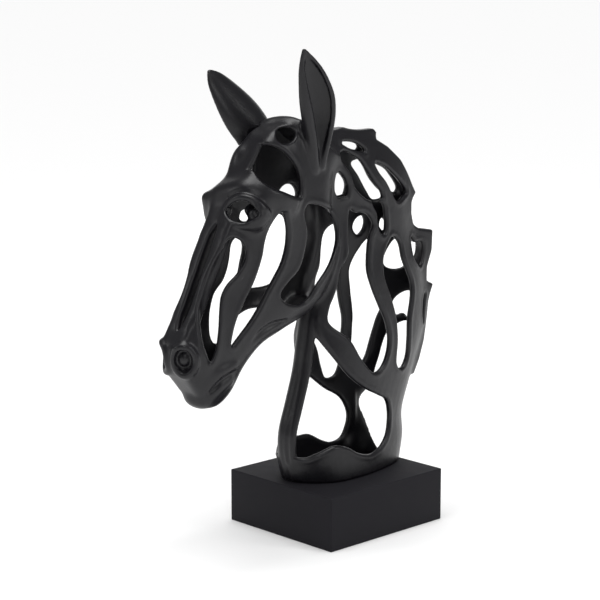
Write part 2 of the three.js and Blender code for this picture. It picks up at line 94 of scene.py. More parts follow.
# Sections of the head from the poll to the tip of the muzzle: front and back as (y, z), then half widths.
HEAD = (
    Station("poll", (-74, 370), (-14, 326), (11, 17, 22, 25, 24, 11)),
    Station("forehead", (-105, 358), (-24, 302), (14, 21, 27, 29, 28, 14)),
    Station("temple", (-125, 331), (-26, 272), (16, 22, 29, 32, 31, 16)),
    Station("brow", (-146, 304), (-20, 244), (17, 24, 34, 33, 32, 20)),
    Station("below the eye", (-163, 275), (-28, 212), (17, 21, 28, 32, 32, 21)),
    Station("cheek", (-177, 248), (-54, 181), (17, 20, 26, 31, 32, 20)),
    Station("bars of the jaw", (-189, 222), (-93, 163.5), (16, 19, 23, 28, 29, 16)),
    Station("nose", (-202, 196), (-120, 152.5), (15, 18, 22, 25, 26, 15)),
    Station("above the nostril", (-215, 175), (-141, 133), (14, 18, 22, 24, 23, 13)),
    Station("nostril", (-223, 162), (-156, 110), (12, 18, 22, 23, 20, 11)),
    Station("lips", (-221, 142), (-173, 98), (10, 15, 18, 19, 17, 9)),
    Station("tip", (-211, 128), (-189, 99), (6, 9, 11, 12, 10, 5)),
)

# Sections of the neck from below its foot up to the crest.
NECK = (
    Station("below the foot", (-63, -16), (86, -16), (7, 23, 39, 40, 28, 7)),
    Station("foot", (-67, 0), (88, 0), (7, 23, 39, 40, 28, 7)),
    Station("collar", (-75, 28), (93, 25), (7, 23, 38, 39, 28, 7)),
    Station("chest", (-75, 52), (92, 52), (7, 22, 37, 38, 27, 7)),
    Station("low neck", (-66, 80), (102, 80), (7, 22, 35, 37, 26, 7)),
    Station("lower third", (-56, 112), (114, 108), (7, 22, 35, 36, 25, 7)),
    Station("middle", (-51, 140), (125, 138), (7, 22, 34, 35, 24, 7)),
    Station("upper middle", (-46, 166), (128, 172), (7, 21, 31, 32, 22, 6)),
    Station("throat", (-38, 196), (120, 206), (7, 19, 28, 28, 19, 6)),
    Station("behind the jowl", (-28, 228), (106, 238), (7, 17, 24, 23, 16, 6)),
    Station("nape", (-24, 262), (103, 272), (7, 16, 21, 20, 14, 5)),
    Station("upper crest", (-28, 292), (91, 308), (6, 16, 21, 19, 13, 5)),
    Station("crest behind the ears", (-40, 322), (52, 339), (5, 14, 19, 16, 11, 5)),
    Station("top of the crest", (-58, 348), (4, 357), (5, 10, 14, 12, 8, 4)),
)

# Outlines are points (y, z) and drops are rows (y, z, half width). A turned opening is cut at an angle to the
# line across, and its first coordinate runs along the side as seen from there.
OPENINGS = (
    Opening("left temple", Side.LEFT, 9, outline=(
        (-129, 330), (-123, 341), (-119, 346), (-111, 348), (-101, 344), (-90, 334), (-82, 322), (-80, 308),
        (-83, 296), (-93, 298), (-107, 303), (-120, 308), (-127, 314))),
    Opening("right temple", Side.RIGHT, 15, drop=(
        (-104, 340, 2), (-100, 330, 6), (-99, 316, 7), (-104, 305, 2.5))),
    Opening("behind the right temple", Side.RIGHT, -1, outline=(
        (-58, 288), (-54, 296), (-47, 301), (-40, 300), (-36, 292), (-38, 283), (-48, 281))),
    Opening("behind the right eye", Side.RIGHT, -1, outline=(
        (-108, 271), (-105, 278), (-99, 280), (-92, 278), (-89, 271), (-98, 267))),
    Opening("left side of the nose", Side.LEFT, 90, turn=45, outline=(
        (-104, 261), (-109, 253), (-114, 245), (-124, 228), (-128, 215), (-130, 203), (-129.5, 188),
        (-127, 167), (-124.5, 158), (-120, 146), (-115, 156), (-112, 176), (-111, 195), (-109.5, 208),
        (-104.5, 218), (-95, 228), (-88, 240), (-87, 250), (-90, 258), (-98, 263))),
    Opening("right side of the nose", Side.RIGHT, 90, turn=45, drop=(
        (-99, 263, 2.5), (-96, 254, 7.5), (-98, 244, 9.5), (-105, 231, 10), (-114, 218, 10),
        (-119.5, 204, 10), (-120, 188, 9.5), (-119.5, 170, 7.5), (-117.5, 153, 4.5), (-116, 141, 2))),
    Opening("left cheek", Side.LEFT, -1, drop=(
        (-108, 284, 3), (-110, 271, 10.5), (-112, 256, 13.5), (-116, 240, 13), (-124, 225, 11),
        (-133, 210, 9.5), (-142, 196, 9.5), (-152, 181, 8), (-160, 168, 4.5), (-165, 159, 1.5))),
    Opening("right cheek", Side.RIGHT, -1, outline=(
        (-125, 233), (-122, 248), (-116, 253), (-109, 252), (-104, 246), (-104, 238), (-107, 228),
        (-110, 217), (-117, 207), (-126, 199), (-131, 190), (-132, 175), (-136, 162), (-142, 152),
        (-149, 152), (-154, 160), (-155, 176), (-153, 188), (-147, 202), (-134, 213), (-128, 223))),
    Opening("left jowl", Side.LEFT, -1, outline=(
        (-77, 280), (-72, 288), (-59, 287), (-42, 281), (-25, 273), (-18, 260), (-20, 243), (-35, 224),
        (-57, 205), (-70, 192), (-84, 189), (-100, 193), (-108, 202), (-99, 213), (-84, 225),
        (-77, 240), (-73, 262))),
    Opening("right jowl", Side.RIGHT, -1, outline=(
        (-79, 262), (-65, 271), (-50, 270), (-42, 258), (-41, 243), (-45, 224), (-56, 207), (-68, 200),
        (-88, 199), (-103, 201), (-108, 207), (-99, 215), (-87, 228), (-81, 244))),
    Opening("edge of the right jaw", Side.RIGHT, -1, outline=(
        (-138, 148), (-129, 162), (-118, 172), (-103, 179), (-88, 180), (-75, 179), (-64, 171),
        (-76, 158), (-96, 145), (-120, 134))),
    Opening("below the left ear", Side.LEFT, -1, drop=(
        (-19, 314, 2.5), (-16, 308, 6.5), (-12, 298, 8.5), (-10, 288, 5))),
    Opening("below the right ear", Side.RIGHT, -1, drop=(
        (14, 308, 3), (16, 302, 7), (19, 293, 9.5), (20, 284, 6))),
    Opening("left upper crest", Side.LEFT, -1, outline=(
        (-16, 331), (-4, 335), (5, 331), (16, 325), (26, 314), (36, 301), (48, 288), (49, 282), (29, 281),
        (6, 296), (-1, 312))),
    Opening("right upper crest", Side.RIGHT, -1, outline=(
        (31, 318), (41, 321), (48, 315), (60, 299), (71, 288), (79, 282), (75, 277), (63, 277), (56, 285),
        (43, 303))),
    Opening("under the left first lock", Side.LEFT, -1, drop=(
        (-6, 342, 2), (7, 339, 4), (17, 336, 4), (27, 332, 2))),
    Opening("under the right first lock", Side.RIGHT, -1, drop=(
        (11, 342, 2), (21, 340, 4.5), (30, 336, 4.5), (37, 332, 2))),
    Opening("behind the left first lock", Side.LEFT, -1, outline=(
        (40, 319), (58, 314), (70, 306), (82, 297), (95, 284), (87, 279), (74, 276), (64, 287), (55, 299),
        (45, 309))),
    Opening("behind the right first lock", Side.RIGHT, -1, outline=(
        (60, 315), (75, 310), (84, 302), (94, 287), (91, 282), (81, 287), (72, 298))),
    Opening("left small drop of the crest", Side.LEFT, -1, outline=(
        (31, 279), (38, 268), (39, 255), (43, 247), (48, 244), (52, 249), (53, 264), (50, 276), (40, 280))),
    Opening("right small drop of the crest", Side.RIGHT, -1, drop=(
        (77, 256, 2), (79, 249, 5), (81, 242, 2))),
    Opening("left middle of the neck", Side.LEFT, -1, outline=(
        (-1, 276), (6, 272), (17, 271), (27, 266), (33, 256), (26, 244), (21, 226), (19, 210), (23, 194),
        (32, 173), (41, 154), (44, 136), (40, 119), (31, 108), (19, 105), (1, 122), (-13, 144),
        (-33, 163), (-31, 177), (-22, 196), (-16, 215), (-6, 229), (-4, 252))),
    Opening("right middle of the neck", Side.RIGHT, -1, outline=(
        (-4, 246), (6, 254), (16, 255), (24, 245), (25, 222), (26, 196), (32, 172), (39, 150), (38, 126),
        (36, 104), (29, 90), (16, 89), (9, 103), (3, 122), (-7, 139), (-14, 155), (-14, 171),
        (-10, 188), (-10, 200), (-5, 214), (-6, 232))),
    Opening("right upper drop of the neck", Side.RIGHT, -1, outline=(
        (39, 249), (43, 258), (52, 261), (56, 254), (54, 245), (47, 240))),
    Opening("left back of the neck", Side.LEFT, -1, outline=(
        (63, 241), (76, 232), (79, 216), (85, 202), (91, 188), (89, 173), (82, 153), (81, 130), (80, 112),
        (72, 102), (64, 102), (58, 109), (59, 133), (57, 158), (50, 181), (42, 204), (46, 224))),
    Opening("right long drop of the neck", Side.RIGHT, -1, outline=(
        (60, 235), (70, 235), (74, 208), (80, 187), (91, 164), (84, 146), (76, 124), (68, 104), (61, 97),
        (50, 105), (51, 132), (51, 155), (45, 182), (41, 206), (48, 222))),
    Opening("right low drop of the neck", Side.RIGHT, -1, outline=(
        (93, 128), (103, 137), (116, 141), (119, 132), (114, 108), (106, 88), (92, 82), (77, 84),
        (84, 106))),
    Opening("right back drop of the neck", Side.RIGHT, -1, outline=(
        (100, 161), (108, 171), (119, 174), (122, 165), (117, 153), (106, 147))),
    Opening("right upper back drop", Side.RIGHT, -1, outline=(
        (84, 212), (95, 233), (105, 223), (112, 202), (101, 198), (87, 203))),
    Opening("behind the third lock", Side.BOTH, -1, outline=(
        (102, 236), (110, 229), (122, 228), (123, 215), (116, 203), (108, 207), (101, 216))),
    Opening("behind the fourth lock", Side.BOTH, -1, drop=(
        (124, 172, 1.5), (119, 164, 4), (117, 152, 4), (119, 141, 1.5))),
    Opening("left low neck", Side.LEFT, 13, outline=(
        (-84, 60), (-84, 100), (-70, 140), (-47, 167), (-42, 148), (-30, 127), (-16, 108), (5, 92),
        (27, 81), (41, 73), (48, 56), (45, 38), (34, 26), (14, 20), (-6, 25), (-22, 34), (-38, 38),
        (-54, 32), (-66, 27), (-80, 34))),
    Opening("right low neck", Side.RIGHT, 13, outline=(
        (-84, 60), (-84, 100), (-70, 140), (-52, 162), (-44, 145), (-32, 123), (-16, 102), (0, 90),
        (16, 78), (36, 65), (45, 46), (43, 30), (37, 20), (25, 17), (13, 21), (-6, 31), (-22, 32),
        (-38, 36), (-54, 32), (-66, 27), (-80, 34))),
)


def eased(
    start: np.ndarray, end: np.ndarray, rise: np.ndarray, fall: np.ndarray, share: float
) -> np.ndarray:
    """Gives a point of the cubic between two points that leaves and arrives with given slopes.

    Args:
        start: The first point.
        end: The second point.
        rise: The slope at the first point.
        fall: The slope at the second point.
        share: The share of the way between them.

    Returns:
        The point there.
    """
    cubic = (2 * start - 2 * end + rise + fall) * share**3
    square = (-3 * start + 3 * end - 2 * rise - fall) * share**2
    return cubic + square + rise * share + start


def catmull(points: np.ndarray, t: float) -> np.ndarray:
    """Gives a point of the uniform smooth curve through a row of points.

    Args:
        points: The points, one a row.
        t: The share of the way from the first point to the last.

    Returns:
        The point there.
    """
    last = len(points) - 1
    place = min(max(t, 0.0), 1.0) * last
    i = min(int(place), last - 1)
    p0, p1, p2, p3 = (points[min(max(i + k, 0), last)] for k in (-1, 0, 1, 2))
    return eased(p1, p2, (p2 - p0) / 2, (p3 - p1) / 2, place - i)


def closed_curve(points: np.ndarray, steps: int) -> np.ndarray:
    """Gives the uniform smooth closed curve through a row of points.

    Args:
        points: The points, one a row.
        steps: How many points the curve gets between two of them.

    Returns:
        The curve's points, one a row.
    """
    count = len(points)
    rows = []
    for i in range(count):
        p0, p1, p2, p3 = (points[(i + k) % count] for k in (-1, 0, 1, 2))
        rise, fall = (p2 - p0) / 2, (p3 - p1) / 2
        rows += [eased(p1, p2, rise, fall, k / steps) for k in range(steps)]
    return np.array(rows)


def centripetal_curve(points: np.ndarray, steps: int) -> np.ndarray:
    """Gives the centripetal smooth closed curve through a row of points, which never loops.

    Args:
        points: The points, one a row.
        steps: How many points the curve gets between two of them.

    Returns:
        The curve's points, one a row.
    """
    count = len(points)
    rows = []
    for i in range(count):
        p0, p1, p2, p3 = (points[(i + k) % count] for k in (-1, 0, 1, 2))
        d0, d1, d2 = (math.sqrt(float(np.linalg.norm(b - a))) for a, b in ((p0, p1), (p1, p2), (p2, p3)))
        rise = ((p1 - p0) / d0 - (p2 - p0) / (d0 + d1) + (p2 - p1) / d1) * d1
        fall = ((p2 - p1) / d1 - (p3 - p1) / (d1 + d2) + (p3 - p2) / d2) * d1
        rows += [eased(p1, p2, rise, fall, k / steps) for k in range(steps)]
    return np.array(rows)


def smooth_union(first: np.ndarray, second: np.ndarray, blend: float) -> np.ndarray:
    """Joins two fields with a fillet.

    Args:
        first: One field of distances.
        second: The other one.
        blend: How far apart their distances may be and still be blended.

    Returns:
        The joined field.
    """
    near = np.maximum(blend - np.abs(first - second), 0) / blend
    return np.minimum(first, second) - near * near * (blend / 4)


def smooth_overlap(first: np.ndarray, second: np.ndarray, blend: float) -> np.ndarray:
    """Keeps what lies in both of two fields, with a rounded edge between them."""
    return -smooth_union(-first, -second, blend)


class Field:
    """A block of space with the distance to a surface at each of its points."""

    band = 9

    def __init__(
        self, low: tuple[float, float, float], high: tuple[float, float, float], pitch: float
    ) -> None:
        """Lays out the points.

        Args:
            low: The block's lowest corner.
            high: Its highest corner.
            pitch: The distance between points.
        """
        self.pitch = pitch
        self.first = tuple(math.floor(value / pitch) for value in low)
        self.count = tuple(math.ceil(b / pitch) - a + 1 for a, b in zip(self.first, high))
        axes = [(np.arange(n, dtype=np.float32) + a) * pitch for a, n in zip(self.first, self.count)]
        self.x = axes[0][:, None, None]
        self.y = axes[1][None, :, None]
        self.z = axes[2][None, None, :]
        self.axes = axes

    def from_mesh(self, points: np.ndarray, faces: np.ndarray) -> np.ndarray:
        """Measures the distance to a closed mesh, true as far as the band reaches.

        Args:
            points: The mesh's points.
            faces: Its triangles.

        Returns:
            The distance at each point of the block, below zero inside.
        """
        transform = openvdb.createLinearTransform(voxelSize=self.pitch)
        grid = openvdb.FloatGrid.createLevelSetFromPolygons(
            np.ascontiguousarray(points, dtype=np.float32),
            triangles=np.ascontiguousarray(faces, dtype=np.uint32),
            transform=transform,
            halfWidth=float(self.band),
        )
        values = np.empty(self.count, dtype=np.float32)
        grid.copyToArray(values, ijk=self.first)
        return values

    def to_mesh(self, values: np.ndarray) -> tuple[np.ndarray, np.ndarray]:
        """Finds the surface where the distance is zero.

        Args:
            values: The distance at each point of the block.

        Returns:
            The surface's points, and its four-sided faces.
        """
        grid = openvdb.FloatGrid((self.band + 1) * self.pitch)
        grid.transform = openvdb.createLinearTransform(voxelSize=self.pitch)
        grid.copyFromArray(np.ascontiguousarray(values, dtype=np.float32), ijk=self.first)
        points, quads = grid.convertToQuads(0.0)
        return points, quads

    def window(self, low: tuple[float, ...], high: tuple[float, ...]) -> tuple[slice, slice, slice]:
        """Gives the part of the block between two corners, as slices of its arrays."""
        slices = []
        for first, count, a, b in zip(self.first, self.count, low, high):
            start = min(max(math.floor(a / self.pitch) - first, 0), count - 1)
            stop = min(max(math.ceil(b / self.pitch) - first + 1, start + 1), count)
            slices.append(slice(start, stop))
        return tuple(slices)


def outline_distance(outline: np.ndarray, along: np.ndarray, up: np.ndarray) -> np.ndarray:
    """Measures the distance to a closed outline in a plane, below zero inside it.

    Args:
        outline: The outline's corners.
        along: The first coordinate of the plane's columns.
        up: The second coordinate of its rows.

    Returns:
        The distance at each crossing of a column and a row.
    """
    a = along[:, None]
    b = up[None, :]
    nearest = np.full((len(along), len(up)), 1e9, dtype=np.float32)
    inside = np.zeros(nearest.shape, dtype=bool)
    for (ax, ay), (bx, by) in zip(outline, np.roll(outline, -1, axis=0)):
        dx, dy = bx - ax, by - ay
        length = dx * dx + dy * dy
        if length < 1e-9:
            continue
        t = np.clip(((a - ax) * dx + (b - ay) * dy) / length, 0, 1)
        nearest = np.minimum(nearest, (a - ax - t * dx) ** 2 + (b - ay - t * dy) ** 2)
        if abs(dy) > 1e-9:
            crosses = ((b >= min(ay, by)) & (b < max(ay, by))) & (a < ax + (b - ay) * dx / dy)
            inside ^= crosses
    distance = np.sqrt(nearest)
    return np.where(inside, -distance, distance).astype(np.float32)


def cord_distance(
    x: np.ndarray, y: np.ndarray, z: np.ndarray, points: np.ndarray, radii: np.ndarray
) -> np.ndarray:
    """Measures the distance to a round cord along a row of points.

    Args:
        x: First coordinate of the places where it is measured.
        y: Second coordinate.
        z: Third coordinate.
        points: The cord's points.
        radii: Its radius at each of them.

    Returns:
        The distance at each place.
    """
    nearest = None
    for a, b, ra, rb in zip(points[:-1], points[1:], radii[:-1], radii[1:]):
        step = b - a
        u, v, w = x - a[0], y - a[1], z - a[2]
        t = np.clip((u * step[0] + v * step[1] + w * step[2]) / float(step @ step), 0, 1)
        gap = np.sqrt((u - t * step[0]) ** 2 + (v - t * step[1]) ** 2 + (w - t * step[2]) ** 2)
        gap = gap - (ra + t * (rb - ra))
        nearest = gap if nearest is None else np.minimum(nearest, gap)
    return nearest


@dataclass(frozen=True)
class Lump:
    """A ball that may be longer one way: its middle, its radii, and its tilt about the line across."""

    centre: tuple[float, float, float]
    radii: tuple[float, float, float]
    tilt: float = 0.0


def lump_distance(x: np.ndarray, y: np.ndarray, z: np.ndarray, lump: Lump) -> np.ndarray:
    """Measures the distance to a lump, nearly.

    Args:
        x: First coordinate of the places where it is measured.
        y: Second coordinate.
        z: Third coordinate.
        lump: The lump.

    Returns:
        The distance at each place.
    """
    u, forward, up = x - lump.centre[0], y - lump.centre[1], z - lump.centre[2]
    v = forward * math.cos(lump.tilt) + up * math.sin(lump.tilt)
    w = -forward * math.sin(lump.tilt) + up * math.cos(lump.tilt)
    a, b, c = lump.radii
    near = np.sqrt((u / a) ** 2 + (v / b) ** 2 + (w / c) ** 2)
    steep = np.sqrt((u / a**2) ** 2 + (v / b**2) ** 2 + (w / c**2) ** 2)
    return near * (near - 1) / np.maximum(steep, 1e-6)


def softened(values: np.ndarray, reach: int) -> np.ndarray:
    """Rounds a form off by averaging its distances over a small cube.

    Args:
        values: The form's distances.
        reach: How many points to each side are averaged.

    Returns:
        The rounder form's distances.
    """
    width = 2 * reach + 1
    for axis in range(3):
        padded = np.pad(values, [(reach + 1, reach) if k == axis else (0, 0) for k in range(3)], mode="edge")
        sums = np.cumsum(padded, axis=axis, dtype=np.float64)
        upper = np.take(sums, range(width, sums.shape[axis]), axis=axis)
        lower = np.take(sums, range(0, sums.shape[axis] - width), axis=axis)
        values = ((upper - lower) / width).astype(np.float32)
    return values


def skin(rings: list[np.ndarray]) -> tuple[np.ndarray, np.ndarray]:
    """Closes a row of rings into one skin, with a fan over each end.

    Args:
        rings: The rings, all with the same number of points.

    Returns:
        The skin's points, and its triangles.
    """
    count = len(rings[0])
    points = np.concatenate([*rings, rings[0].mean(axis=0)[None], rings[-1].mean(axis=0)[None]])
    first_middle = len(rings) * count
    faces = []
    for k in range(count):
        n = (k + 1) % count
        for r in range(0, (len(rings) - 1) * count, count):
            faces += [(r + k, r + n, r + count + n), (r + k, r + count + n, r + count + k)]
        last = (len(rings) - 1) * count
        faces += [(n, k, first_middle), (first_middle + 1, last + k, last + n)]
    return points, np.array(faces)


@dataclass(frozen=True)
class Ear:
    """A leaf cupped towards its own side. Each row is the share of the length, half-width and depth."""

    root: tuple[float, float, float]
    tip: tuple[float, float, float]
    facing: tuple[float, float, float]
    bow: float
    rows: tuple[tuple[float, float, float], ...]
    front_rim: float
    back_rim: float


@dataclass(frozen=True)
class Ridge:
    """A round cord laid on the form or pressed into it: rows of x, y, z and radius."""

    name: str
    rows: tuple[tuple[float, float, float, float], ...]
    blend: float
    closed: bool = False


LEFT_EAR = Ear(
    root=(27, -56, 322),
    tip=(40, -85, 438),
    facing=(1, -0.35, 0),
    bow=9,
    rows=(
        (0, 9, 9), (0.2, 13, 13), (0.42, 17.5, 15), (0.6, 18, 13), (0.8, 13, 9), (0.93, 6.5, 4.5),
        (1, 1.5, 1.5),
    ),
    front_rim=5.8,
    back_rim=2.6,
)
RIGHT_EAR = Ear(
    root=(-27, -60, 322),
    tip=(-62, -117, 415),
    facing=(-1, 0, -0.3),
    bow=0,
    rows=(
        (0, 14, 10), (0.2, 20.5, 13), (0.42, 24, 14), (0.6, 22.5, 12), (0.8, 16, 8), (0.93, 9.5, 4.5),
        (1, 2, 1.5),
    ),
    front_rim=2.2,
    back_rim=2.2,
)

BROW_RIDGE = Ridge(
    "brow",
    (
        (-31.5, -146.5, 296, 2.2), (-25, -144, 297.5, 4.4), (-12, -143, 301, 6), (4, -141, 305, 7),
        (17, -136, 306, 7), (27, -126, 303, 7), (32, -110, 297, 6), (32, -95, 291, 4),
    ),
    14,
)
FAR_BROW_EDGE = Ridge(
    "edge under the far brow",
    ((-31.5, -146.5, 295, 2.2), (-29.5, -142, 285, 4.2), (-29, -143, 272, 4.6), (-23, -150, 262, 4.6)),
    7,
)
UPPER_LID = Ridge(
    "upper lid",
    (
        (3, -153, 289, 1.2), (10, -152, 297, 2.2), (21, -149, 301, 2.8), (31, -143, 299, 2.8),
        (37, -135, 291, 2.4), (35, -126, 284, 1.4),
    ),
    3.5,
)
LID_CREASE = Ridge(
    "crease over the upper lid",
    (
        (6, -151, 300, 0.8), (16, -149, 306, 1.3), (28, -144, 306, 1.5), (37, -136, 299, 1.3),
        (38, -127, 290, 0.8),
    ),
    2.5,
)
LOWER_LID = Ridge(
    "lower lid",
    (
        (3, -154, 286, 1.2), (9, -157, 279, 2.2), (19, -155, 275, 2.8), (28, -147, 274, 2.8),
        (35, -137, 277, 2.3), (36, -128, 282, 1.4),
    ),
    3.5,
)
NOSTRIL_RIM = Ridge(
    "rim of the nostril",
    (
        (7, -223, 159, 2.4), (10, -223, 163, 2.4), (16, -219, 165, 2.6), (20, -213, 161, 2.8),
        (22, -209, 151, 3), (20, -211, 141, 3.2), (13, -216, 136, 3.2), (6, -219, 140, 2.8),
        (5, -223, 149, 2.4),
    ),
    4,
    closed=True,
)
UPPER_LIP = Ridge(
    "upper lip",
    ((21, -162, 139, 2), (21, -171, 137, 3), (20, -182, 133, 3), (15, -192, 125, 2.4)),
    8,
)
LOWER_LIP = Ridge(
    "lower lip",
    ((19, -166, 124, 2), (18, -177, 119, 3), (15, -186, 112, 2.4)),
    8,
)
MOUTH = Ridge(
    "mouth",
    ((24, -157, 134, 1), (24, -169, 130, 1.7), (23, -180, 125, 1.9), (19, -189, 117, 1)),
    2.5,
)
JAW_GROOVE = Ridge(
    "groove along the jaw",
    ((27, -140, 160, 1), (28, -131, 167, 2.8), (29, -117, 173, 3.2), (28, -99, 175, 1.4)),
    3,
)
CROWN_ARCH = Ridge(
    "arch between the ears",
    (
        (-20, -86, 360, 4), (-12, -84, 364.5, 4.5), (-4, -79, 366.5, 5), (4, -75.5, 367, 5),
        (13, -71, 365.5, 5), (22, -69, 361, 4),
    ),
    7,
)
FOREHEAD = Ridge(
    "far side of the forehead",
    ((-15, -113, 342, 3), (-15.5, -118, 337, 5), (-17, -120, 330, 5.5), (-18, -122, 323, 4)),
    9,
)
STRAP_GROOVE = Ridge(
    "groove down the front strap",
    (
        (3, -44, 186, 0.8), (4, -50, 160, 1.8), (4, -59, 120, 2.4), (5, -70, 80, 2.6), (6, -77, 50, 2.6),
        (6, -75, 22, 1.6),
    ),
    3,
)


BEHIND_NOSTRIL = Lump((12, -212, 150), (14, 14, 17))
BEHIND_EYE = Lump((27, -137, 284), (12, 15, 14))
EYE_SWELLING = Lump((28, -138, 283), (12, 13, 14), 0.3)
CHIN = Lump((0, -186, 108), (15, 14, 10))
NOSTRIL_PIT = Lump((14.5, -218.5, 150.5), (8.5, 8.5, 11.5))
NOSTRIL_PLUG = Lump((9.5, -212.5, 152), (7, 6.5, 8))
CROWN_HOLLOW = Lump((15, -90, 355), (15, 12, 7.5), 0.3)
STRAP_FOOT = Lump((-27, 54, 8), (7, 13, 15))

EYE_SOCKET = Opening("eye socket", Side.BOTH, 80, turn=45, outline=(
    (-107, 286), (-101, 294), (-91, 298), (-81, 294), (-74, 286), (-83, 279), (-92, 276.5), (-101, 280)))
EYE_HOLE = Opening("eye", Side.LEFT, 80, turn=45, outline=(
    (-98, 279), (-95, 285), (-91, 288), (-87.5, 284), (-85, 279), (-91, 277)))

# The mane's rib as seen from the side: down the points of its locks, then back up inside the neck.
MANE = (
    (-30, 353), (10, 352), (48, 353), (52, 349), (50, 341), (68, 333), (88, 318), (102, 298), (113, 281),
    (104, 272), (102, 260), (107, 249), (118, 243), (140, 239), (139, 217), (132, 200), (130, 185),
    (142, 180), (133, 161), (130, 142), (128, 120), (121, 100), (112, 84), (100, 90), (110, 124),
    (114, 150), (112, 180), (106, 206), (96, 232), (88, 262), (72, 292), (50, 318), (20, 334),
)

# The opening low in the neck's back, as points (x, z).
BACK_OPENING = (
    (8, 44), (8, 60), (1, 74), (-10, 81), (-18, 78), (-24, 66), (-25, 56), (-23, 42), (-21, 26),
    (-17, 12), (-12, 3), (-6, 4), (1, 14), (6, 28),
)

# The slot down the bridge of the nose, from (y, z) to (y, z), and its half widths along the way.
BRIDGE_TOP = (-163, 275)
BRIDGE_BOTTOM = (-214, 178)
BRIDGE_SHARES = (0, 0.12, 0.3, 0.6, 0.85, 1)
BRIDGE_HALF_WIDTHS = (0, 4.5, 5.5, 5.5, 5, 0)


